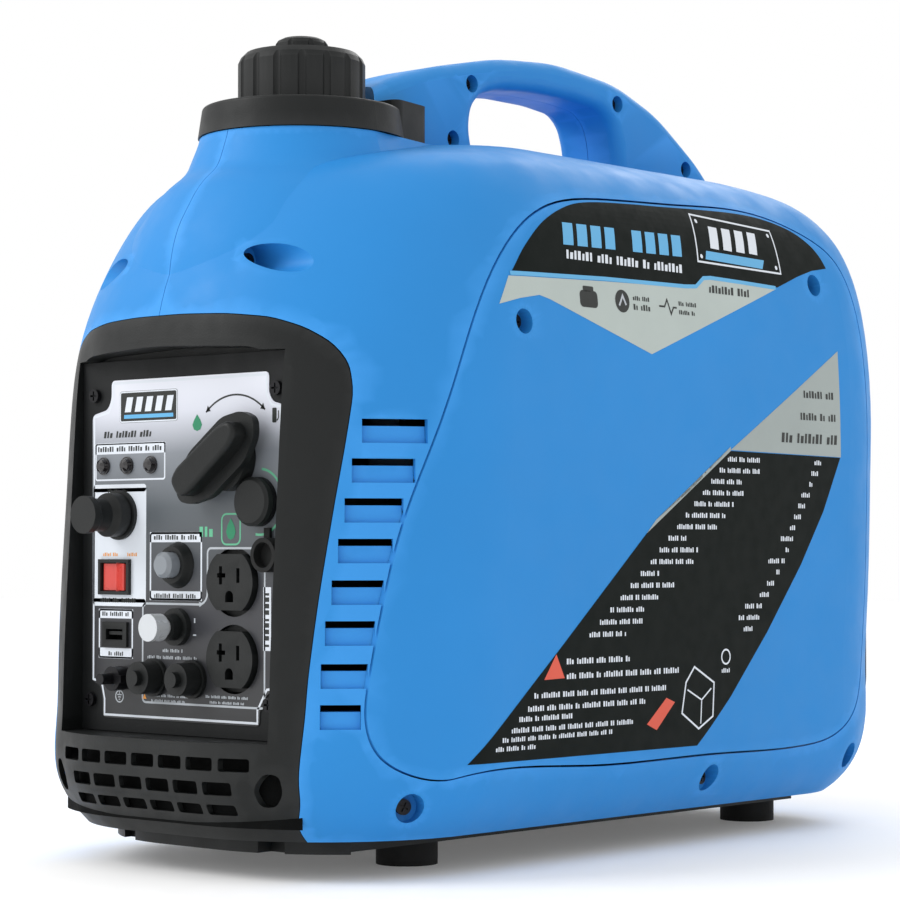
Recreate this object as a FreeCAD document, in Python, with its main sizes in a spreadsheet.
import FreeCAD, Part
import math
import os

Vector = FreeCAD.Vector
doc = FreeCAD.newDocument("inverter_generator")

# ---------------------------------------------------------------- dimensions
# Millimetres. +Z up, -Y is the control panel end, +X is the right-hand side.
DIMENSIONS = {
    "wall": 3, "split_gap": 0.4, "seam_gap": 1.2,
    # base tray and feet
    "pan_bottom": 12, "pan_step": 19, "pan_top": 30, "pan_floor": 3, "belly_half": 79, "pan_half_width": 112,
    "pan_front": -218, "pan_rear": 226, "pan_radius": 90,
    "foot_radius": 16.35, "foot_height": 12, "foot_x": 62, "foot_front": -121, "foot_rear": 187,
    # control panel
    "panel_y": -225, "panel_thick": 2, "panel_half": 77, "panel_low": 69.5, "panel_high": 264,
    "overlay_thick": 0.5, "panel_screw_radius": 3.6,
    # panel fittings, x and z of each centre
    "outlet_x": 39.5, "outlet_high": 148.3, "outlet_low": 109.4, "outlet_radius": 16.75,
    "dial_x": 38.5, "dial_z": 211, "dial_radius": 16.8, "dial_shaft": 4, "dial_reach": 22,
    "choke_x": -46.5, "choke_z": 182.8, "choke_rod": 3, "choke_reach": 26.5,
    "lpg_x": 57.8, "lpg_z": 188.6, "lpg_radius": 12.3,
    "rocker_x": -50, "rocker_z": 150.3, "rocker_width": 19, "rocker_height": 14,
    "economy_x": -2, "economy_z": 156.8, "economy_ring": 12, "economy_cap": 6.7,
    "breaker_x": -1.5, "breaker_z": 125, "breaker_cap": 7,
    "usb_x": -49.5, "usb_z": 120.2,
    "ground_x": -42.5, "ground_z": 97.5, "stud_radius": 3,
    "socket_left": -19.2, "socket_right": 9.8, "socket_z": 98.6, "socket_radius": 8.4,
    "lamp_x": -41.2, "lamp_pitch": 18.4, "lamp_z": 208.8, "lamp_radius": 4,
    # fuel cap and its surround
    "cap_y": -138, "surround_low": 386, "surround_high": 402.5, "surround_radius": 56,
    "tongue_high": 407, "cap_radius": 34.5, "cap_low": 403.6, "cap_high": 432.7,
    "vent_radius": 14.2, "vent_top": 442,
    "neck_radius": 24, "neck_top": 417,
    # carrying handle
    "handle_half": 24,
    # running gear
    "crank_z": 115, "crank_radius": 10, "rotor_radius": 68, "fan_radius": 80,
    "shroud_radius": 86, "pulley_radius": 30,
    # recoil grip on the left
    "recoil_y": -129, "recoil_z": 145,
    # from the building origin to the middle of the footprint
    "middle_shift": -6,
}
sheet = doc.addObject("Spreadsheet::Sheet", "dim")
sheet.Label = "dim"
for row, (alias, number) in enumerate(DIMENSIONS.items(), start=1):
    sheet.set("A%d" % row, alias)
    sheet.set("B%d" % row, str(number))
    sheet.setAlias("B%d" % row, alias)
doc.recompute()


def val(alias):
    return float(sheet.get(alias))


def bind(obj, prop, value):
    if isinstance(value, str):
        obj.setExpression(prop, value)
    elif prop.startswith("Placement.Base."):
        obj.setExpression(prop, repr(float(value)))
    else:
        setattr(obj, prop, float(value))


def put(obj, at, axis="+Z"):
    turns = {
        "+Z": FreeCAD.Rotation(),
        "-Z": FreeCAD.Rotation(Vector(1, 0, 0), 180),
        "-Y": FreeCAD.Rotation(Vector(1, 0, 0), 90),
        "+Y": FreeCAD.Rotation(Vector(1, 0, 0), -90),
        "+X": FreeCAD.Rotation(Vector(0, 1, 0), 90),
        "-X": FreeCAD.Rotation(Vector(0, 1, 0), -90),
    }
    turn = turns[axis] if isinstance(axis, str) else axis
    obj.Placement = FreeCAD.Placement(Vector(0, 0, 0), turn)
    for letter, value in zip("xyz", at):
        bind(obj, "Placement.Base." + letter, value)
    return obj


def cylinder(radius, length, at, axis="+Z"):
    obj = doc.addObject("Part::Cylinder", "cylinder")
    bind(obj, "Radius", radius)
    bind(obj, "Height", length)
    return put(obj, at, axis)


def cone(radius_a, radius_b, length, at, axis="+Z"):
    obj = doc.addObject("Part::Cone", "cone")
    bind(obj, "Radius1", radius_a)
    bind(obj, "Radius2", radius_b)
    bind(obj, "Height", length)
    return put(obj, at, axis)


def box(size, at, axis="+Z"):
    obj = doc.addObject("Part::Box", "box")
    for prop, value in zip(("Length", "Width", "Height"), size):
        bind(obj, prop, value)
    return put(obj, at, axis)


def rounded(obj, radius, edges=None):
    """Fillet the chosen edges of a document object (all of them by default)."""
    doc.recompute()
    fillet = doc.addObject("Part::Fillet", "fillet")
    fillet.Base = obj
    picked = edges or range(1, len(obj.Shape.Edges) + 1)
    fillet.Edges = [(number, radius, radius) for number in picked]
    doc.recompute()
    return fillet


def cut(base, *tools):
    for tool in tools:
        obj = doc.addObject("Part::Cut", "cut")
        obj.Base = base
        obj.Tool = tool
        base = obj
    return base


def fuse(*shapes):
    obj = doc.addObject("Part::MultiFuse", "fuse")
    obj.Shapes = list(shapes)
    obj.Refine = True
    return obj


def common(*shapes):
    obj = doc.addObject("Part::MultiCommon", "common")
    obj.Shapes = list(shapes)
    return obj


def group(*shapes):
    obj = doc.addObject("Part::Compound", "group")
    obj.Links = list(shapes)
    return obj


def feature(shape, name="shape"):
    obj = doc.addObject("Part::Feature", name)
    obj.Shape = shape
    return obj


nodes = {}


def node(name, obj):
    obj.Label = name
    nodes[name] = obj
    return obj


# ---------------------------------------------------------------- body form
# Horizontal sections of the enclosure: height, half width, front, rear,
# front corner radius, rear corner radius.
BODY_SECTIONS = [
    (20, 118.5, -235.5, 235.5, 93, 69),
    (32, 130, -245, 247, 104, 76),
    (46, 137, -250.5, 254, 110, 81),
    (66, 140, -251.5, 257.6, 114, 82.5),
    (115, 140, -250, 258.5, 115.5, 82.5),
    (165, 140, -247.3, 260.6, 115.5, 80),
    (206, 139.8, -246, 261.5, 118, 78.5),
    (247.5, 139, -244.5, 262.5, 120, 76.5),
    (289, 136.5, -240, 261, 127, 75.5),
    (322, 132.5, -226.5, 256.5, 129, 76),
    (343, 127, -212.5, 249.5, 124, 75),
    (360, 118, -193, 238, 111, 72),
    (373, 104, -160, 222, 98, 66),
    (381, 86, -118, 202, 80, 56),
    (385.5, 59, -60, 174, 50, 46),
]


def section_wire(height, half, front, rear, radius_front, radius_rear):
    def arc(centre_x, centre_y, radius, start):
        angles = [math.radians(start + turn) for turn in (0, 45, 90)]
        return [Vector(centre_x + radius * math.cos(a), centre_y + radius * math.sin(a), height)
                for a in angles]
    corners = [
        arc(half - radius_front, front + radius_front, radius_front, 270),
        arc(half - radius_rear, rear - radius_rear, radius_rear, 0),
        arc(-half + radius_rear, rear - radius_rear, radius_rear, 90),
        arc(-half + radius_front, front + radius_front, radius_front, 180),
    ]
    edges = []
    for place, corner in enumerate(corners):
        edges.append(Part.Arc(*corner).toShape())
        following = corners[(place + 1) % 4]
        edges.append(Part.makeLine(corner[2], following[0]))
    return Part.Wire(edges)


def body_solid(inset):
    wires = []
    if inset:
        height, half, front, rear, rf, rr = BODY_SECTIONS[0]
        wires.append(section_wire(height - 14, half - inset, front + inset, rear - inset,
                                  rf - inset, rr - inset))
    top = BODY_SECTIONS[-1][0]
    for height, half, front, rear, rf, rr in BODY_SECTIONS:
        lift = inset * min(1.0, max(0.0, (height - 290) / (top - 290)))
        wires.append(section_wire(height - lift, half - inset, front + inset, rear - inset,
                                  rf - inset, rr - inset))
    return Part.makeLoft(wires, True, inset > 0)


def spline_prism(points, plane, start, end):
    """Closed smooth outline in a side or front plane, pushed out to a solid."""
    if plane == "front":
        vectors = [Vector(x, start, z) for x, z in points]
        push = Vector(0, end - start, 0)
    else:
        vectors = [Vector(start, y, z) for y, z in points]
        push = Vector(end - start, 0, 0)
    curve = Part.BSplineCurve()
    curve.interpolate(vectors, PeriodicFlag=True)
    return Part.Face(Part.Wire([curve.toShape()])).extrude(push)


def polygon_prism(points, plane, start, end, radius=0):
    """Closed straight-sided outline with rounded corners, pushed out to a solid."""
    count = len(points)
    edges = []
    ends = []
    for place, point in enumerate(points):
        before = Vector(*points[place - 1], 0)
        here = Vector(*point, 0)
        after = Vector(*points[(place + 1) % count], 0)
        back = (before - here)
        ahead = (after - here)
        reach = min(radius, back.Length * 0.45, ahead.Length * 0.45)
        back.normalize()
        ahead.normalize()
        if reach < 0.01 or abs(back.cross(ahead).Length) < 0.02:
            ends.append((here, here, None))
            continue
        first = here + back * reach
        last = here + ahead * reach
        middle = (here + (first + last) * 0.5) * 0.5
        ends.append((first, last, middle))
    for place, (first, last, middle) in enumerate(ends):
        if middle is not None:
            curve = Part.BezierCurve()
            corner = Vector(*points[place], 0)
            curve.setPoles([first, corner, last])
            edges.append(curve.toShape())
        following = ends[(place + 1) % count][0]
        if (following - last).Length > 0.001:
            edges.append(Part.makeLine(last, following))
    face = Part.Face(Part.Wire(edges))
    solid = face.extrude(Vector(0, 0, abs(end - start)))
    low = min(start, end)
    if plane == "top":
        solid.translate(Vector(0, 0, low))
    elif plane == "front":
        solid.rotate(Vector(0, 0, 0), Vector(1, 0, 0), 90)
        solid.translate(Vector(0, low + abs(end - start), 0))
    else:
        solid.rotate(Vector(0, 0, 0), Vector(0, 0, 1), 90)
        solid.rotate(Vector(0, 0, 0), Vector(0, 1, 0), 90)
        solid.translate(Vector(low, 0, 0))
    return solid


def mirrored(shape):
    return shape.mirror(Vector(0, 0, 0), Vector(1, 0, 0))


BEZEL_SIDE = [(82, 25), (90, 40), (91.5, 62), (93.3, 100), (96.6, 140), (101, 189), (104, 220),
              (105.5, 243), (103, 257), (96, 267), (84, 275), (68, 280.5), (45, 283), (15, 284)]


def bezel_outline(grow):
    side = [(x + grow, z + (grow if z > 250 else 0)) for x, z in BEZEL_SIDE]
    bottom = [(82 + grow, -10)]
    right = bottom + side
    left = [(-x, z) for x, z in reversed(right)]
    return right + left


COVER_OUTLINE = [
    (-165, 51.5), (-190, 54.5), (-203, 64), (-207.5, 81), (-206, 101), (-199.5, 140), (-189.5, 180),
    (-171, 227), (-153, 271), (-124, 317), (-103, 335), (-75, 347), (-30, 353.5), (43, 357.5),
    (120, 359), (157, 351), (186, 336), (203, 305), (209, 260), (208, 180), (203, 110),
    (192, 75), (168, 57), (140, 52), (50, 52), (-60, 52),
]


def cover_outline(grow):
    middle_y, middle_z = 0, 205
    moved = []
    for y, z in COVER_OUTLINE:
        away = Vector(y - middle_y, z - middle_z, 0).normalize() * grow
        moved.append((y + away.x, z + away.y))
    return moved


outer = body_solid(0)
inner = body_solid(val("wall"))
assert outer.isValid() and inner.isValid(), "enclosure form"

# The turret under the fuel cap: a rounded column that flares into the shoulders.
def turret_section(height, radius, tail, half_tail):
    centre = val("cap_y")
    front = [Vector(radius * math.cos(a), centre + radius * math.sin(a), height)
             for a in (math.radians(180), math.radians(225), math.radians(270),
                       math.radians(315), math.radians(360))]
    edges = [
        Part.Arc(front[0], front[1], front[2]).toShape(),
        Part.Arc(front[2], front[3], front[4]).toShape(),
        Part.makeLine(front[4], Vector(half_tail, tail, height)),
        Part.makeLine(Vector(half_tail, tail, height), Vector(-half_tail, tail, height)),
        Part.makeLine(Vector(-half_tail, tail, height), front[0]),
    ]
    return Part.Wire(edges)


TURRET_SECTIONS = [
    (300, 97, -8, 84), (309, 95.8, -8, 84), (318, 94.3, -8, 84), (326.5, 91.8, -14, 80),
    (336, 87.3, -22, 73), (344.5, 82, -30, 66),
    (352, 76.8, -38, 59), (358.6, 70.6, -46, 53), (364.5, 63.8, -55, 49), (372, 59.6, -62, 46),
    (379, 57, -66, 43.5), (385.6, 55, -69, 41.5),
]
turret = Part.makeLoft([turret_section(*row) for row in TURRET_SECTIONS], True, False)
hollow_rows = [(row[0] - 3, row[1] - 4, row[2] - 4, row[3] - 4) for row in TURRET_SECTIONS]
turret_hollow = Part.makeLoft([turret_section(*row) for row in hollow_rows], True, False)

HANDLE_SIDE = [
    (-116, 408), (-110, 414), (-85, 426), (-52, 436), (4, 448), (54, 452), (111, 447),
    (152, 433), (192, 408), (207, 395), (216, 385), (218, 372), (218, 345), (60, 352), (-116, 352),
]
handle = polygon_prism(HANDLE_SIDE, "side", -val("handle_half"), val("handle_half"), 14)
GRIP_SIDE = [(-21, 390), (-24, 404), (-22, 416), (-13, 425), (4, 430), (36, 432.5), (70, 432.5),
             (95, 430), (105, 423), (109.5, 411), (111, 398), (110, 390)]
grip_hole = polygon_prism(GRIP_SIDE, "side", -60, 60, 7)
handle = handle.cut(grip_hole)
handle_rounding = handle.makeFillet(7.5, [
    edge for edge in handle.Edges
    if abs(abs(edge.BoundBox.Center.x) - val("handle_half")) < 0.01 and edge.BoundBox.XLength < 0.01
    and edge.BoundBox.ZMax > 386 and edge.BoundBox.ZMin > 389])
if handle_rounding.isValid() and handle_rounding.Volume > 0:
    handle = handle_rounding
cap_room = Part.makeCylinder(val("cap_radius") + 1.1, 120, Vector(0, val("cap_y"), 370))
handle = handle.cut(cap_room)

shell_solid = outer.fuse([turret, handle])
cavity = inner.fuse(turret_hollow)
handle_root = handle.common(Part.makeBox(400, 700, 60, Vector(-200, -300, 379)))
shell = shell_solid.cut(cavity).fuse(handle_root).removeSplitter()

# openings: bezel, rear panel, side covers and the filler
bezel_gap = val("split_gap")
front_opening = polygon_prism(bezel_outline(bezel_gap), "front", -300, -190, 6)
rear_opening = polygon_prism([(-104, 61), (104, 61), (104, 241), (-104, 241)], "front", 205, 300, 24)
side_opening = spline_prism(cover_outline(val("seam_gap")), "side", 60, 200)
filler_opening = Part.makeCylinder(40, 60, Vector(0, val("cap_y"), 370))
blank = shell.cut(front_opening).cut(rear_opening).cut(side_opening).cut(mirrored(side_opening))
blank = blank.cut(filler_opening)

# horizontal air slots wrapping round each front corner
SLOT_HEIGHTS = [223.4, 203.7, 184.0, 164.0, 143.6, 123.6, 102.6, 82.6]
SLOT_STARTS = [(108.5, -205), (106, -209.5), (104.5, -213), (103, -216), (101.5, -219),
               (99.5, -221.5), (98.5, -223.5), (98.5, -224)]
SLOT_ENDS = [(127, -177.5), (125, -184), (122.7, -190), (120.8, -195.4), (118.7, -199.7),
             (116.4, -203.6), (114.6, -206.7), (112.8, -209.8)]


def corner_wedges(near, far, below, above):
    """One flat wedge for every slot, seen from the middle of the corner's curve."""
    centre = Vector(24.5, -134, 0)
    wedges = []
    for height, start, end in zip(SLOT_HEIGHTS, SLOT_STARTS, SLOT_ENDS):
        ray_a = (Vector(*start, 0) - centre).normalize()
        ray_b = (Vector(*end, 0) - centre).normalize()
        outline = [centre + ray_a * near, centre + ray_a * far, centre + ray_b * far, centre + ray_b * near]
        wedges.append(polygon_prism([(p.x, p.y) for p in outline], "top", height - below, height + above, 0))
    return wedges


slots = corner_wedges(100, 145, 6, 6)
blank = blank.cut(slots).cut([mirrored(slot) for slot in slots])

# screw wells: the right-hand set is mirrored to the left
WELLS = [((128.9, -188.6, 37), (-0.886, 0.464, 0), 7.5, 18), ((146, 49.6, 38), (-1, 0, 0), 7.5, 20),
         ((146, 190.7, 42.4), (-1, 0, 0), 7.5, 23)]
DOME_WELLS = [((120, -216.9, 311.5), (-1, 0, 0), 7.8, 82)]
COVER_WELLS = [((146, -113.8, 281.9), (-1, 0, 0), 6.5, 17), ((146, 157.2, 321.8), (-1, 0, -0.1), 6.5, 22)]


def well(spec):
    at, axis, radius, depth = spec
    return Part.makeCylinder(radius, depth, Vector(*at), Vector(*axis))


def well_cup(spec, grow=2.0):
    at, axis, radius, depth = spec
    return Part.makeCylinder(radius + grow, depth + grow, Vector(*at), Vector(*axis))


def screw(spec, head=4.0, shank=1.9, length=8):
    """Pan-head screw seated on the floor of a well."""
    at, axis, radius, depth = spec
    run = Vector(*axis).normalize()
    floor = Vector(*at) + run * depth
    solid = Part.makeCylinder(head, 2.4, floor - run * 2.4, run)
    solid = solid.fuse(Part.makeCylinder(shank, length, floor, run)).removeSplitter()
    slot_a = Part.makeBox(5, 0.9, 1.2, Vector(-2.5, -0.45, 0))
    slot_b = Part.makeBox(0.9, 5, 1.2, Vector(-0.45, -2.5, 0))
    cross = slot_a.fuse(slot_b)
    cross.Placement = FreeCAD.Placement(floor - run * 2.5, FreeCAD.Rotation(Vector(0, 0, 1), run))
    return solid.cut(cross)


def seat_hole(spec, clearance=0.0, shank=1.9, length=8.0):
    at, axis, radius, depth = spec
    run = Vector(*axis).normalize()
    floor = Vector(*at) + run * depth
    return Part.makeCylinder(shank + clearance, length, floor, run)


shell_wells = WELLS + DOME_WELLS

cups = [well_cup(spec) for spec in shell_wells]
cups = [cup.common(outer) for cup in cups]
blank = blank.fuse(cups + [mirrored(cup) for cup in cups])
tools = [well(spec) for spec in shell_wells] + [seat_hole(spec) for spec in shell_wells]
blank = blank.cut(tools + [mirrored(tool) for tool in tools])

half_gap = val("split_gap") / 2
right_half = Part.makeBox(300, 700, 600, Vector(half_gap, -350, 0))
GRIP_SCREW_SPOTS = [(-25, 429), (109, 434), (-41, 395.5), (178, 401.5)]
grip_screws = [((28, y, z), (-1, 0, 0), 5, 11) for y, z in GRIP_SCREW_SPOTS]
grip_tools = [well(spec) for spec in grip_screws] + [seat_hole(spec) for spec in grip_screws]
right_blank = blank.common(right_half)
left_blank = mirrored(blank.common(mirrored(right_half)))
right_shape = right_blank.cut(grip_tools)
left_shape = mirrored(left_blank.cut(grip_tools))


def largest(shape):
    return max(shape.Solids, key=lambda solid: solid.Volume)


node("right_shell", feature(largest(right_shape)))
node("left_shell", feature(largest(left_shape)))

# ---------------------------------------------------------------- side covers
cover_tool = spline_prism(cover_outline(0), "side", 60, 200)
skin = outer.cut(inner)
cover = largest(skin.common(cover_tool))
cover_cups = [well_cup(spec).common(outer).common(cover_tool) for spec in COVER_WELLS]
cover = cover.fuse(cover_cups)
cover = cover.cut([well(spec) for spec in COVER_WELLS] + [seat_hole(spec) for spec in COVER_WELLS])
node("right_cover", feature(largest(cover)))
pocket = Part.makeBox(60, 98, 46, Vector(-150, val("recoil_y") - 49, val("recoil_z") - 23))
tray = Part.makeBox(34, 104, 52, Vector(-148, val("recoil_y") - 52, val("recoil_z") - 26)).common(outer)
tray_hollow = Part.makeBox(31, 98, 46, Vector(-148, val("recoil_y") - 49, val("recoil_z") - 23))
tray = tray.cut(tray_hollow)
rope_hole = Part.makeCylinder(7, 30, Vector(-125, val("recoil_y"), val("recoil_z")), Vector(1, 0, 0))
left_cover = mirrored(cover).cut(pocket).fuse(tray).cut(rope_hole)
node("left_cover", feature(largest(left_cover)))

case = [screw(spec) for spec in shell_wells + COVER_WELLS]
case = case + [mirrored(one) for one in case]
handle_fixings = [screw(spec, 3.6, 1.9, 8) for spec in grip_screws]
case = case + handle_fixings + [mirrored(one) for one in handle_fixings]
node("case_screws", feature(Part.makeCompound(case)))

# ---------------------------------------------------------------- front bezel
bezel_tool = polygon_prism(bezel_outline(0), "front", -300, -196, 6)
half, low, high = val("panel_half"), val("panel_low"), val("panel_high")
recess = [(-half - 0.4, low - 0.4), (half + 0.4, low - 0.4), (half + 0.4, high - 6),
          (half - 14, high + 2), (0, high + 4.5), (-half + 14, high + 2), (-half - 0.4, high - 6)]
rim = [(-half - 4, low - 4), (half + 4, low - 4), (half + 4, high - 4),
       (half - 12, high + 6), (0, high + 8.5), (-half + 12, high + 6), (-half - 4, high - 4)]
rim_block = polygon_prism(rim, "front", -300, -216, 8).common(outer)
seat_block = polygon_prism([(x * 0.94, 167 + (z - 167) * 0.96) for x, z in recess], "front",
                           -300, -190, 6)
bezel = skin.common(bezel_tool).fuse(rim_block)
bezel = bezel.cut(polygon_prism(recess, "front", -300, -222.6, 8))
bezel = bezel.cut(seat_block)
bezel = bezel.cut(Part.makeBox(2 * half + 0.6, 40, high - low + 0.6, Vector(-half - 0.3, -262.6, low - 0.3)))
GRILLE_ROWS = [(58.5, 6.6, 7, 20.2), (46.5, 6.6, 6, 20.2), (35.8, 5.4, 6, 20.2)]
grille = []
for height, tall, count, pitch in GRILLE_ROWS:
    for place in range(count):
        x = (place - (count - 1) / 2) * pitch
        bar = [(x - 8.4, height - tall / 2), (x + 8.4, height - tall / 2),
               (x + 8.4, height + tall / 2), (x - 8.4, height + tall / 2)]
        grille.append(polygon_prism(bar, "front", -300, -190, 1.6))
for side in (-1, 1):
    oval = [(side * 72, 38), (side * 79, 38), (side * 84, 45), (side * 83, 54), (side * 76, 55),
            (side * 70, 47)]
    if side < 0:
        oval = oval[::-1]
    grille.append(polygon_prism(oval, "front", -300, -190, 4))
bezel = bezel.cut(grille)
node("front_bezel", feature(largest(bezel)))

# ---------------------------------------------------------------- rear cover
rear_block = polygon_prism([(-103, 62), (103, 62), (103, 240), (-103, 240)], "front", 236, 263.5, 24)
rear_edges = [edge for edge in rear_block.Edges if abs(edge.BoundBox.YMin - 263.5) < 0.01
              and abs(edge.BoundBox.YMax - 263.5) < 0.01]
rear_block = rear_block.makeFillet(8, rear_edges)
rear_hollow = polygon_prism([(-100, 65), (100, 65), (100, 237), (-100, 237)], "front", 226, 260.5, 21)
rear = rear_block.cut(rear_hollow)
rear_slots = []
for row in range(7):
    z = 78 + row * 10
    rear_slots.append(Part.makeBox(150, 20, 5, Vector(-75, 254, z)))
exhaust_opening = Part.makeCylinder(24, 20, Vector(42, 250, 182), Vector(0, 1, 0))
rear = rear.cut(rear_slots).cut(exhaust_opening)
node("rear_cover", feature(largest(rear)))

# ---------------------------------------------------------------- base tray and feet
pan_row = (val("pan_half_width"), val("pan_front"), val("pan_rear"), val("pan_radius"))


def tray_solid(low_z, high_z, inset):
    half_width, front, rear_end, radius = pan_row
    wire = section_wire(low_z, half_width - inset, front + inset, rear_end - inset,
                        radius - inset, 60 - inset)
    return Part.Face(wire).extrude(Vector(0, 0, high_z - low_z))


def belly_zone(inset, front):
    half_width = val("belly_half") - inset
    return Part.makeBox(2 * half_width, 440, 40, Vector(-half_width, front, 0))


# a raised rim all round, and a deeper belly between the feet with a lip along the front
pan_low, pan_step, pan_floor = val("pan_bottom"), val("pan_step"), val("pan_floor")
lip_zone = Part.makeBox(240, 40, 40, Vector(-120, -230, 0))
belly = tray_solid(pan_low, pan_step + pan_floor, 0).common(belly_zone(0, -230).fuse(lip_zone))
pan = tray_solid(pan_step, val("pan_top"), 0).fuse(belly)
pan = pan.cut(tray_solid(pan_step + pan_floor, val("pan_top") + 5, 3))
hollow_top = pan_step + pan_floor + 1
pan = pan.cut(tray_solid(pan_low + pan_floor, hollow_top, 3).common(belly_zone(3, -202)))
rib_a = Part.makeBox(152, 4, 8, Vector(-76, -140, pan_low + pan_floor))
rib_b = Part.makeBox(152, 4, 8, Vector(-76, 110, pan_low + pan_floor))
lip_notch = Part.makeBox(14, 26, pan_step - pan_low - 0.5, Vector(46, -231, pan_low))
pan = pan.fuse([rib_a, rib_b]).cut([lip_notch, mirrored(lip_notch)]).removeSplitter()
node("base_pan", feature(pan))

feet = []
for sign in ("-", ""):
    for alias in ("foot_front", "foot_rear"):
        feet.append(cylinder("dim.foot_radius", "dim.foot_height - dim.split_gap / 40",
                             (sign + "dim.foot_x", "dim." + alias, 0)))
node("rubber_feet", group(*feet))

# ---------------------------------------------------------------- control panel
panel_body = doc.addObject("PartDesign::Body", "control_panel_body")
panel_sketch = panel_body.newObject("Sketcher::SketchObject", "panel_outline")
origin_planes = {item.Role: item for item in panel_body.Origin.OriginFeatures}
panel_sketch.AttachmentSupport = [(origin_planes["XZ_Plane"], "")]
panel_sketch.MapMode = "FlatFace"
corner_points = [(-half, low), (half, low), (half, high), (-half, high)]
for place in range(4):
    a = corner_points[place]
    b = corner_points[(place + 1) % 4]
    panel_sketch.addGeometry(Part.LineSegment(Vector(a[0], a[1], 0), Vector(b[0], b[1], 0)), False)
PANEL_HOLES = [
    ("dial_x", "dial_z", 6.0), ("choke_x", "choke_z", 8.0), ("lpg_x", "lpg_z", 8.0),
    ("economy_x", "economy_z", 9.0), ("breaker_x", "breaker_z", 7.0), ("ground_x", "ground_z", 3.0),
    ("socket_left", "socket_z", 8.0), ("socket_right", "socket_z", 8.0),
    ("outlet_x", "outlet_high", 17.5), ("outlet_x", "outlet_low", 17.5),
]
for x_alias, z_alias, radius in PANEL_HOLES:
    panel_sketch.addGeometry(Part.Circle(Vector(val(x_alias), val(z_alias), 0), Vector(0, 0, 1), radius),
                             False)
for place in (-1, 0, 1):
    x = val("lamp_x") + place * val("lamp_pitch")
    panel_sketch.addGeometry(Part.Circle(Vector(x, val("lamp_z"), 0), Vector(0, 0, 1), 3.0), False)
SQUARE_HOLES = [("rocker_x", "rocker_z", 10.5, 8), ("usb_x", "usb_z", 8.5, 5.5)]
for x_alias, z_alias, dx, dz in SQUARE_HOLES:
    x, z = val(x_alias), val(z_alias)
    ring = [(x - dx, z - dz), (x + dx, z - dz), (x + dx, z + dz), (x - dx, z + dz)]
    for place in range(4):
        a, b = ring[place], ring[(place + 1) % 4]
        panel_sketch.addGeometry(Part.LineSegment(Vector(a[0], a[1], 0), Vector(b[0], b[1], 0)), False)
panel_pad = panel_body.newObject("PartDesign::Pad", "panel_sheet")
panel_pad.Profile = panel_sketch
panel_pad.setExpression("Length", "dim.panel_thick")
panel_body.Tip = panel_pad
panel_body.setExpression("Placement.Base.y", "dim.panel_y + dim.panel_thick")
doc.recompute()
if panel_body.Shape.BoundBox.YMin < val("panel_y") - 0.5 or panel_body.Shape.BoundBox.YMax > val("panel_y") + 2.5:
    raise SystemExit("control panel sheet lies outside its own plane")
node("control_panel", panel_body)

py = "dim.panel_y"
overlay_face = val("panel_y") - val("overlay_thick")
overlay_points = [
    (-60, 76.4), (58, 76.4), (58, 84), (64, 93.5), (74, 95), (74, 237), (67, 238.5), (64, 243), (64, 253.8),
    (-54, 253.8), (-54, 244), (-57, 238.5), (-69, 236), (-69, 95), (-62, 93.5), (-60, 86),
]
overlay = polygon_prism(overlay_points, "front", overlay_face, val("panel_y"), 3)
overlay_cutters = []
for x_alias, z_alias, radius in PANEL_HOLES:
    overlay_cutters.append(Part.makeCylinder(radius, 3, Vector(val(x_alias), -227, val(z_alias)),
                                             Vector(0, 1, 0)))
for place in (-1, 0, 1):
    x = val("lamp_x") + place * val("lamp_pitch")
    overlay_cutters.append(Part.makeCylinder(3.0, 3, Vector(x, -227, val("lamp_z")), Vector(0, 1, 0)))
for x_alias, z_alias, dx, dz in SQUARE_HOLES:
    overlay_cutters.append(Part.makeBox(2 * dx, 3, 2 * dz, Vector(val(x_alias) - dx, -227, val(z_alias) - dz)))
node("panel_overlay", feature(overlay.cut(overlay_cutters)))

screw_spots = [(-66.5, 246.2), (70.1, 245.2), (-69.1, 85.5), (65.4, 87.5)]
panel_heads = []
for x, z in screw_spots:
    head = Part.makeCylinder(val("panel_screw_radius"), 2.4, Vector(x, val("panel_y"), z), Vector(0, -1, 0))
    driver = Part.makeBox(5, 1.4, 1, Vector(x - 2.5, val("panel_y") - 2.6, z - 0.5))
    driver_b = Part.makeBox(1, 1.4, 5, Vector(x - 0.5, val("panel_y") - 2.6, z - 2.5))
    panel_heads.append(head.cut([driver, driver_b]))
node("panel_screws", feature(Part.makeCompound(panel_heads)))

# ---------------------------------------------------------------- receptacles
outlet_faces = []
outlet_cuts = []
for alias in ("outlet_high", "outlet_low"):
    face = cylinder("dim.outlet_radius", 28, ("dim.outlet_x", py + " + 24", "dim." + alias), "-Y")
    trim = box((40, 40, 28.4), ("dim.outlet_x - 20", py + " - 8", "dim." + alias + " - 14.2"))
    outlet_faces.append(common(face, trim))
    for offset, size in ((-6.3, 9.2), (6.3, 7.4)):
        outlet_cuts.append(box((2.2, 14, size), ("dim.outlet_x + %g" % (offset - 1.1), py + " - 4",
                                                 "dim.%s + 3.4 - %g" % (alias, size / 2))))
    outlet_cuts.append(box((6, 14, 2.2), ("dim.outlet_x - 8.8", py + " - 4", "dim.%s + 2.3" % alias)))
    outlet_cuts.append(cylinder(2.9, 14, ("dim.outlet_x", py + " + 10", "dim.%s - 7.2" % alias), "-Y"))
    outlet_cuts.append(box((5.8, 14, 2.9), ("dim.outlet_x - 2.9", py + " - 4", "dim.%s - 10.1" % alias)))
yoke = box((33, 22, 72), ("dim.outlet_x - 16.5", py + " + 2.4", "(dim.outlet_high + dim.outlet_low) / 2 - 36"))
node("duplex_outlet", cut(fuse(yoke, *outlet_faces), *outlet_cuts))

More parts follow.
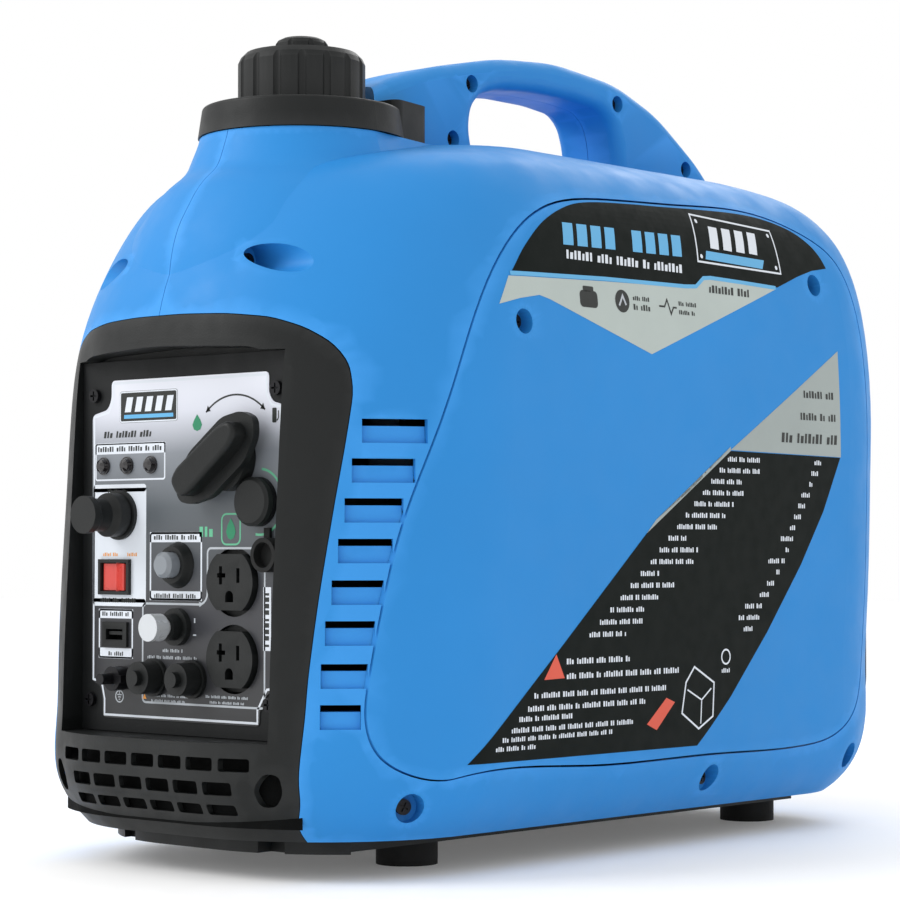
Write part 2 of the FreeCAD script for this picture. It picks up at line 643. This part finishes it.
# ---------------------------------------------------------------- fuel dial
dial_body = cylinder("dim.dial_radius", 7.5, ("dim.dial_x", py + " - 1", "dim.dial_z"), "-Y")
bar_turn = FreeCAD.Rotation(Vector(0, 1, 0), -36).multiply(FreeCAD.Rotation(Vector(1, 0, 0), 90))
plate_shape = polygon_prism([(-34, -2.5), (-29, -8), (-15, -14), (15, -14), (28, -8), (33, 0),
                             (28, 8), (15, 14), (-15, 14), (-29, 8), (-34, 2.5)], "top", 0, 4.2, 4)
ridge_shape = polygon_prism([(-27, -5), (-20, -8), (17, -7), (25, -4), (25, 4), (17, 7), (-20, 8), (-27, 5)],
                            "top", 4, val("dial_reach") - 8.5, 4)
ridge_tops = [edge for edge in ridge_shape.Edges if edge.BoundBox.ZMin > val("dial_reach") - 8.6]
ridge_shape = ridge_shape.makeFillet(2.4, ridge_tops)
bar = feature(plate_shape.fuse(ridge_shape), "dial_bar")
bar.Placement = FreeCAD.Placement(Vector(val("dial_x"), val("panel_y") - 8.5, val("dial_z")), bar_turn)
dial_shaft = cylinder("dim.dial_shaft", 22, ("dim.dial_x", py + " + 20", "dim.dial_z"), "-Y")
node("fuel_dial", fuse(dial_body, bar, dial_shaft))
valve_block = box((34, 22, 34), ("dim.dial_x - 22", py + " + 5", "dim.dial_z - 17"))
valve_ports = fuse(valve_block,
                   cylinder(4, 14, ("dim.dial_x - 5", py + " + 16", "dim.dial_z + 15")),
                   cylinder(4, 14, ("dim.dial_x - 15", py + " + 16", "dim.dial_z + 15")),
                   cylinder(6, 2.5, ("dim.dial_x - 5", py + " + 26", "dim.dial_z"), "+Y"))
node("fuel_selector_valve", cut(valve_ports, cylinder("dim.dial_shaft + 0.06", 26,
                                ("dim.dial_x", py + " + 25", "dim.dial_z"), "-Y")))

# ---------------------------------------------------------------- choke knob
choke_at = ("dim.choke_x", "dim.choke_z")


def on_panel(kind, away, length, *radii, at=choke_at, axis="-Y"):
    place = (at[0], "%s - (%s)" % (py, away), at[1])
    maker = cylinder if kind == "cylinder" else cone
    return maker(*radii, length, place, axis)


node("choke_knob", fuse(
    on_panel("cylinder", "3.2", 6.8, 11.5), on_panel("cone", "10", 3.5, 11.5, 8.6),
    on_panel("cylinder", "13.5", 6.5, 8.6), on_panel("cone", "20", 2.4, 8.6, 9.8),
    on_panel("cylinder", "22.4", "dim.choke_reach - 22.4", 9.8),
    cylinder("dim.choke_rod", 48, ("dim.choke_x", py + " + 28", "dim.choke_z"), "-Y")))
node("choke_guide", cut(fuse(
    on_panel("cylinder", "0.6", 2, 13), on_panel("cylinder", "-20", 21, 7.6)),
    cylinder("dim.choke_rod + 0.06", 40, ("dim.choke_x", py + " + 24", "dim.choke_z"), "-Y")))

# ---------------------------------------------------------------- gas inlet and its cap
lpg_at = ("dim.lpg_x", "dim.lpg_z")
lpg_bore = cylinder(4, 60, ("dim.lpg_x", py + " + 30", "dim.lpg_z"), "-Y")
lpg_flange = on_panel("cylinder", "0.6", 2.4, 12.4, at=lpg_at)
lpg_stem = on_panel("cylinder", "-22", 27.5, 7.4, at=lpg_at)
lpg_inlet = cut(fuse(lpg_flange, lpg_stem), lpg_bore)
node("lpg_inlet", lpg_inlet)
cap_outer = on_panel("cylinder", "3.3", 3.2, "dim.lpg_radius", at=lpg_at)
cap_grip = on_panel("cone", "6.5", 1.5, "dim.lpg_radius", "dim.lpg_radius - 1.6", at=lpg_at)
cap_hollow = on_panel("cylinder", "3.2", 2.9, 7.46, at=lpg_at)
cap_plug = on_panel("cylinder", "-1", 7.5, 3.92, at=lpg_at)
node("lpg_cap", fuse(cut(fuse(cap_outer, cap_grip), cap_hollow), cap_plug))
plug_at = ("dim.lpg_x + 9.4", "dim.lpg_z - 26.6")
plug_cup = cut(on_panel("cylinder", "0.8", 7, 8.6, at=plug_at), on_panel("cylinder", "2.8", 9, 6.4, at=plug_at))
strap_end = box((4, 1.6, 9), ("dim.lpg_x + 5", py + " - 2.6", "dim.lpg_z - 22"))
node("lpg_dust_plug", fuse(plug_cup, strap_end))

# ---------------------------------------------------------------- engine switch
rocker_hole = box(("dim.rocker_width + 1.2", 18, "dim.rocker_height + 1"),
                  ("dim.rocker_x - dim.rocker_width / 2 - 0.6", py + " - 6",
                   "dim.rocker_z - dim.rocker_height / 2 - 0.5"))
switch_flange = box((24, 2, 18.6), ("dim.rocker_x - 12", py + " - 2.6", "dim.rocker_z - 9.3"))
switch_case = box((20.8, 22, 15.8), ("dim.rocker_x - 10.4", py + " - 1", "dim.rocker_z - 7.9"))
pin_hole = cylinder(1.46, "dim.rocker_height + 4",
                    ("dim.rocker_x", py + " + 1.5", "dim.rocker_z - dim.rocker_height / 2 - 2"))
node("engine_switch_body", cut(fuse(switch_flange, switch_case), rocker_hole, pin_hole))
rocker_profile = [(-9.3, -3.6), (-9.3, 1.5), (-3, 5.5), (3, 5.5), (9.3, 1.5), (9.3, -3.6), (0, -1.6)]
rocker_shape = polygon_prism(rocker_profile, "top", 0, val("rocker_height"), 0.8)
rocker = feature(rocker_shape, "rocker")
put(rocker, ("dim.rocker_x", py + " + 1.5", "dim.rocker_z - dim.rocker_height / 2"),
    FreeCAD.Rotation(Vector(0, 0, 1), -7))
rocker_pin = cylinder(1.4, "dim.rocker_height + 1.6",
                      ("dim.rocker_x", py + " + 1.5", "dim.rocker_z - dim.rocker_height / 2 - 0.8"))
node("engine_switch_rocker", fuse(rocker, rocker_pin))

# ---------------------------------------------------------------- economy switch
eco_at = ("dim.economy_x", "dim.economy_z")
ring_solid = fuse(on_panel("cone", "0.6", 5, "dim.economy_ring", "dim.economy_ring - 2.5", at=eco_at),
                  on_panel("cylinder", "-16", 17, 8.8, at=eco_at))
eco_bore = on_panel("cylinder", "-12", 30, "dim.economy_cap + 0.4", at=eco_at)
node("economy_button_ring", cut(ring_solid, eco_bore))
node("economy_button", fuse(on_panel("cylinder", "-8", 19, "dim.economy_cap", at=eco_at),
                            on_panel("cone", "11", 2, "dim.economy_cap", "dim.economy_cap - 1.8", at=eco_at)))

# ---------------------------------------------------------------- breaker
brk_at = ("dim.breaker_x", "dim.breaker_z")
breaker_case = fuse(on_panel("cylinder", "0.6", 3.4, 9.6, at=brk_at),
                    on_panel("cylinder", "-3", 13, 6.9, at=brk_at),
                    box((18, 20, 22), ("dim.breaker_x - 9", py + " + 2.4", "dim.breaker_z - 11")))
breaker_bore = on_panel("cylinder", "-10", 30, 4.5, at=brk_at)
node("breaker_body", cut(breaker_case, breaker_bore))
node("breaker_button", fuse(on_panel("cylinder", "-6", 18, 4.1, at=brk_at),
                            on_panel("cylinder", "13.4", 8.4, "dim.breaker_cap", at=brk_at)))

# ---------------------------------------------------------------- usb, lamps, ground, sockets
usb_case = fuse(box((19, 1.6, 13), ("dim.usb_x - 9.5", py + " - 2.1", "dim.usb_z - 6.5")),
                box((16.6, 18, 10.6), ("dim.usb_x - 8.3", py + " - 1", "dim.usb_z - 5.3")))
usb_slot = box((13, 10, 5.6), ("dim.usb_x - 6.5", py + " - 4", "dim.usb_z - 2.8"))
usb_tongue = box((11.4, 6.6, 1.8), ("dim.usb_x - 5.7", py + " - 0.5", "dim.usb_z - 0.2"))
node("usb_port", fuse(cut(usb_case, usb_slot), usb_tongue))

lamps = []
for place in (-1, 0, 1):
    spot = ("dim.lamp_x + %d * dim.lamp_pitch" % place, "dim.lamp_z")
    lamps.append(fuse(
        on_panel("cylinder", "0.5", 1, "dim.lamp_radius + 0.6", at=spot),
        on_panel("cone", "1.5", 2, "dim.lamp_radius", "dim.lamp_radius - 0.8", at=spot),
        on_panel("cone", "3.5", 1.2, "dim.lamp_radius - 0.8", "dim.lamp_radius - 2.4", at=spot),
        on_panel("cylinder", "-8", 8.5, 2.9, at=spot)))
node("indicator_lamps", group(*lamps))

gnd_at = ("dim.ground_x", "dim.ground_z")
node("ground_stud", fuse(on_panel("cylinder", "-16", 34, "dim.stud_radius - 0.05", at=gnd_at),
                         on_panel("cylinder", "0.6", 2, 6, at=gnd_at)))
wing = box((17, 5, 4), ("dim.ground_x - 8.5", py + " - 11", "dim.ground_z - 2"))
nut_solid = fuse(on_panel("cylinder", "3", 7, 6.4, at=gnd_at), wing)
node("ground_nut", cut(nut_solid, on_panel("cylinder", "1", 16, "dim.stud_radius + 0.02", at=gnd_at)))

sockets = []
for alias in ("socket_left", "socket_right"):
    spot = ("dim." + alias, "dim.socket_z")
    barrel = fuse(on_panel("cylinder", "0.6", 2.2, "dim.socket_radius + 1.5", at=spot),
                  on_panel("cylinder", "-22", 30, 7.6, at=spot))
    sockets.append(cut(barrel, on_panel("cylinder", "-16", 40, 2.6, at=spot)))
    cap_shell = cut(on_panel("cylinder", "3.2", 9.8, "dim.socket_radius", at=spot),
                    on_panel("cylinder", "3", 7.4, 7.66, at=spot))
    nub = on_panel("cylinder", "13", 3.5, 4, at=spot)
    plug = on_panel("cylinder", "-4", 14.5, 2.5, at=spot)
    node("parallel_cap_" + alias[7:], fuse(cap_shell, nub, plug))
node("parallel_sockets", group(*sockets))

# ---------------------------------------------------------------- fuel system
surround_rise = val("surround_high") - val("surround_low")
surround_base = Vector(0, val("cap_y"), val("surround_low"))
surround_shape = Part.makeCone(val("surround_radius"), val("surround_radius") - 2.4, surround_rise,
                               surround_base)
surround_rim = [edge for edge in surround_shape.Edges if edge.BoundBox.ZMin > val("surround_high") - 0.1]
surround_shape = surround_shape.makeFillet(2, surround_rim)
tongues = []
for side in (-1, 1):
    points = [(side * 24.6, -114), (side * 46.5, -112), (side * 40, -80), (side * 24.6, -80)]
    if side < 0:
        points = points[::-1]
    tongues.append(polygon_prism(points, "top", val("surround_low"), val("tongue_high"), 6))
surround_shape = surround_shape.fuse(tongues)
surround_shape = surround_shape.cut(Part.makeCylinder(30, 40, Vector(0, val("cap_y"), 385)))
handle_notch = Part.makeBox(49.2, 80, 60, Vector(-24.6, -118, 380))
handle_notch = handle_notch.cut(Part.makeCylinder(val("cap_radius") + 0.6, 90, Vector(0, val("cap_y"), 370)))
above_disc = Part.makeBox(200, 120, 40, Vector(-100, -200, val("surround_high")))
above_disc = above_disc.common(Part.makeCylinder(val("cap_radius") + 2, 90, Vector(0, val("cap_y"), 370)))
surround_shape = surround_shape.cut([handle_notch, above_disc, turret, handle])
node("cap_surround", feature(largest(surround_shape)))

tank_rows = [(-96, 296), (96, 296), (104, 318), (98, 342), (78, 357), (-78, 357), (-98, 342), (-104, 318)]
tank_shape = polygon_prism(tank_rows, "front", -186, -20, 14)
tank_limit = body_solid(9)
tank_shape = largest(tank_shape.common(tank_limit))
tank_hollow = polygon_prism([(x * 0.97, 327 + (z - 327) * 0.92) for x, z in tank_rows], "front", -180, -24, 13)
tank_hollow = tank_hollow.common(body_solid(12))
neck = Part.makeCylinder(val("neck_radius"), val("neck_top") - 345, Vector(0, val("cap_y"), 345))
neck_hole = Part.makeCylinder(val("neck_radius") - 3, 100, Vector(0, val("cap_y"), 330))
tank_shape = tank_shape.fuse(neck).cut(tank_hollow).cut(neck_hole)
node("fuel_tank", feature(largest(tank_shape)))

cap_at = (0, "dim.cap_y")
cap_tall = "dim.cap_high - dim.cap_low"
cap_skirt = fuse(
    cylinder("dim.cap_radius", cap_tall + " - 6", (0, "dim.cap_y", "dim.cap_low")),
    cone("dim.cap_radius", "dim.cap_radius - 1.4", 3, (0, "dim.cap_y", "dim.cap_high - 6")),
    cone("dim.cap_radius - 1.4", "dim.cap_radius - 4.4", 3, (0, "dim.cap_y", "dim.cap_high - 3")))
grooves = []
for place in range(16):
    angle = place * 22.5
    grooves.append(cylinder(2.6, cap_tall + " + 8",
                            ("(dim.cap_radius + 1.1) * cos(%g)" % angle,
                             "dim.cap_y + (dim.cap_radius + 1.1) * sin(%g)" % angle, "dim.cap_low - 4")))
cap_hollow = cylinder("dim.neck_radius + 0.08", "dim.neck_top - dim.cap_low + 2.5",
                      (0, "dim.cap_y", "dim.cap_low - 1"))
vent_bore = cylinder(5.06, 40, (0, "dim.cap_y", "dim.cap_low"))
node("fuel_cap", cut(cap_skirt, cap_hollow, vent_bore, *grooves))
gasket = cut(cylinder("dim.neck_radius - 0.5", 1, (0, "dim.cap_y", "dim.neck_top + 0.45")),
             cylinder("dim.neck_radius - 8", 6, (0, "dim.cap_y", "dim.neck_top - 2")))
node("fuel_cap_gasket", gasket)
vent_parts = [
    cylinder("dim.vent_radius", "dim.vent_top - dim.cap_high - 4.4", (0, "dim.cap_y", "dim.cap_high + 0.4")),
    cone("dim.vent_radius", "dim.vent_radius - 1.2", 1.8, (0, "dim.cap_y", "dim.vent_top - 4")),
    cone("dim.vent_radius - 1.2", "dim.vent_radius - 4", 1.4, (0, "dim.cap_y", "dim.vent_top - 2.2")),
    cone("dim.vent_radius - 4", "dim.vent_radius - 9", 0.8, (0, "dim.cap_y", "dim.vent_top - 0.8")),
    cylinder(5, 12, (0, "dim.cap_y", "dim.cap_high - 8")),
]
vent_grooves = []
for place in range(8):
    angle = place * 45 + 20
    vent_grooves.append(cylinder(2, 14, ("(dim.vent_radius + 1) * cos(%g)" % angle,
                                         "dim.cap_y + (dim.vent_radius + 1) * sin(%g)" % angle,
                                         "dim.cap_high - 1")))
node("fuel_cap_vent_knob", cut(fuse(*vent_parts), *vent_grooves))

# ---------------------------------------------------------------- electrics behind the panel
fins = [box((150, 46, 10), (-75, -206, 34)), box((12, 40, 19.5), (-56, -200, 15.05)),
        box((12, 40, 19.5), (44, -200, 15.05))]
for place in range(16):
    fins.append(box((3, 46, 22), (-75 + place * 9.8, -206, 43)))
node("inverter_module", fuse(*fins))

# ---------------------------------------------------------------- engine and alternator


def along_y(radius, start, end, x=0, z="dim.crank_z"):
    return cylinder(radius, end - start, (x, start, z), "+Y")


block = fuse(box((104, 92, 96), (-52, -26, 64)), box((140, 80, 8), (-70, -20, 56)),
             along_y(28, -48, -26), cylinder(31, 62, (0, 18, 158)))
for place in range(5):
    block = fuse(block, box((84, 80, 3), (-42, -22, 172 + place * 8)))
node("engine_block", cut(block, along_y("dim.crank_radius + 0.05", -60, 60), cylinder(24, 52, (0, 18, 169))))
head = fuse(box((86, 82, 12), (-43, -23, 220.2)), rounded(box((62, 72, 32), (-31, -18, 231)), 5))
for place in range(3):
    head = fuse(head, box((86, 82, 2.4), (-43, -23, 235 + place * 7)))
node("cylinder_head", head)
node("spark_plug", fuse(cylinder(5, 12, (0, -34.8, 227), "-Y") , cylinder(7, 6, (0, -29, 227), "-Y"),
                        cylinder(5, 6, (0, -23.05, 227), "-Y")))
node("plug_cap", cut(fuse(cylinder(9, 16, (0, -36, 227), "-Y"), cylinder(8, 26, (0, -48, 222))),
                     cylinder(5.02, 11, (0, -35.9, 227), "-Y")))
node("crankshaft", fuse(along_y("dim.crank_radius", -118, 56), along_y(14, -55, -48.4)))
rotor = cut(along_y("dim.rotor_radius", -96, -52), along_y(61, -90, -40), along_y("dim.crank_radius", -120, 0))
node("rotor", rotor)
stator_ring = [cut(along_y(42, -86, -48.05), along_y("dim.crank_radius + 5", -100, 0))]
for place in range(12):
    turn = FreeCAD.Rotation(Vector(0, 1, 0), place * 30).multiply(FreeCAD.Rotation(Vector(1, 0, 0), 90))
    arm = box((59, 9, 30), (0, 0, 0), turn)
    angle = place * 30
    bind(arm, "Placement.Base.x", "-4.5 * sin(%g)" % angle)
    bind(arm, "Placement.Base.y", -53)
    bind(arm, "Placement.Base.z", "dim.crank_z - 4.5 * cos(%g)" % angle)
    stator_ring.append(arm)
stator = cut(fuse(*stator_ring), along_y("dim.crank_radius + 5", -100, 0))
node("stator", stator)
fan_parts = [cut(along_y(52, -112, -96.05), along_y("dim.crank_radius", -120, 0))]
for place in range(9):
    turn = FreeCAD.Rotation(Vector(0, 1, 0), place * 40).multiply(FreeCAD.Rotation(Vector(0, 0, 1), 0))
    blade = box(("dim.fan_radius - 50", 14, 3), (0, 0, 0), turn)
    bind(blade, "Placement.Base.x", "50 * cos(%g)" % (place * 40))
    bind(blade, "Placement.Base.y", -111)
    bind(blade, "Placement.Base.z", "dim.crank_z - 50 * sin(%g)" % (place * 40))
    fan_parts.append(blade)
node("cooling_fan", fuse(*fan_parts))
shroud = cut(along_y("dim.shroud_radius + 3", -120, -26.05), along_y("dim.shroud_radius", -117, -20),
             along_y(44, -130, -110))
shroud_web = cut(along_y("dim.shroud_radius + 2", -29, -26.05), along_y(62, -40, 0))
node("fan_shroud", fuse(shroud, shroud_web))
node("recoil_housing", fuse(cut(along_y(64, -144, -120.05), along_y(60, -141, -110),
                                cylinder(6, 60, (-95, "dim.recoil_y", "dim.recoil_z"), "+X")),
                            along_y(6, -142, -124)))
pulley = cut(along_y("dim.pulley_radius + 2", -136, -123), along_y(6.06, -150, -110),
             cut(along_y(40, -132, -127), along_y("dim.pulley_radius - 2", -133, -126)))
node("recoil_pulley", pulley)
node("recoil_grip", fuse(
    rounded(box((15, 74, 17), (-139.2, "dim.recoil_y - 37", "dim.recoil_z - 8.5")), 5),
    cylinder(5, 16, (-127, "dim.recoil_y", "dim.recoil_z"), "+X")))

# ---------------------------------------------------------------- exhaust
muffler = rounded(box((118, 92, 104), (-52, 118, 98)), 16)
tail = cylinder(12, 54, (42, 205, 182), "+Y")
manifold = fuse(box((26, 76, 22), (7, 59.05, 222)), box((26, 22, 50), (7, 113, 190)))
node("muffler", cut(fuse(muffler, manifold, tail), cylinder(9, 80, (42, 206, 182), "+Y")))
node("exhaust_outlet", cut(cylinder(20, 4, (42, 259.05, 182), "+Y"), cylinder(9, 30, (42, 250, 182), "+Y")))

# ---------------------------------------------------------------- induction
carb = cut(fuse(box((36.95, 26, 34), (-84.95, 5, 210)), cylinder(12, 20, (-65, 18, 186))),
           cylinder(9.5, 60, (-100, 18, 227), "+X"), cylinder(1.56, 60, (-72, 18, 200)))
carb = fuse(carb, cut(box((6, 40, 30), (-49, -2, 212)), cylinder(9.5, 60, (-100, 18, 227), "+X")))
node("carburettor", carb)
node("choke_plate", fuse(cylinder(9, 1.2, (-72, 17.4, 227), "+Y"), cylinder(1.5, 42, (-72, 18, 208))))
air_shell = cut(rounded(box((34, 96, 78), (-119, -24, 188)), 8), box((28, 90, 72), (-116, -21, 191)))
node("air_box", cut(air_shell, cylinder(9.5, 20, (-90, 18, 227), "+X")))
node("air_filter", box((24, 84, 30), (-114, -18, 192)))
node("lpg_regulator", fuse(cylinder(26, 20, (50, -196, 236), "+Y"), cylinder(5, 30, (50, -190, 214)),
                           cylinder(30, 4, (50, -188, 236), "+Y")))
mounts = []
for x in (-60, 60):
    for y in (-8, 48):
        mounts.append(cylinder(11, 40.9, (x, y, 15.05)))
node("engine_mounts", group(*mounts))

# ---------------------------------------------------------------- air louvres inside the corner slots
louvres = corner_wedges(105, 130, 8, 2.5)
guard = body_solid(val("wall") + 0.3)
blades = [largest(blade.common(guard)) for blade in louvres]
blades = blades + [mirrored(blade) for blade in blades]
node("vent_louvres", feature(Part.makeCompound(blades)))

# ---------------------------------------------------------------- check and write
doc.recompute()
for obj in doc.Objects:
    if "Invalid" in obj.State or "Error" in obj.State:
        raise SystemExit("%s does not compute" % obj.Label)
os.makedirs("parts", exist_ok=True)
# The row's origin is the middle of the whole machine's footprint.
to_middle = Vector(0, val("middle_shift"), 0)
for name, obj in nodes.items():
    shape = obj.Shape.copy()
    if shape.isNull() or not shape.isValid() or not shape.Solids:
        raise SystemExit("%s has no valid solid" % name)
    shape = Part.makeCompound([shape]) if shape.ShapeType == "Compound" else shape
    shape.translate(to_middle)
    shape.exportStep("parts/%s.step" % name)
print("nodes", len(nodes))
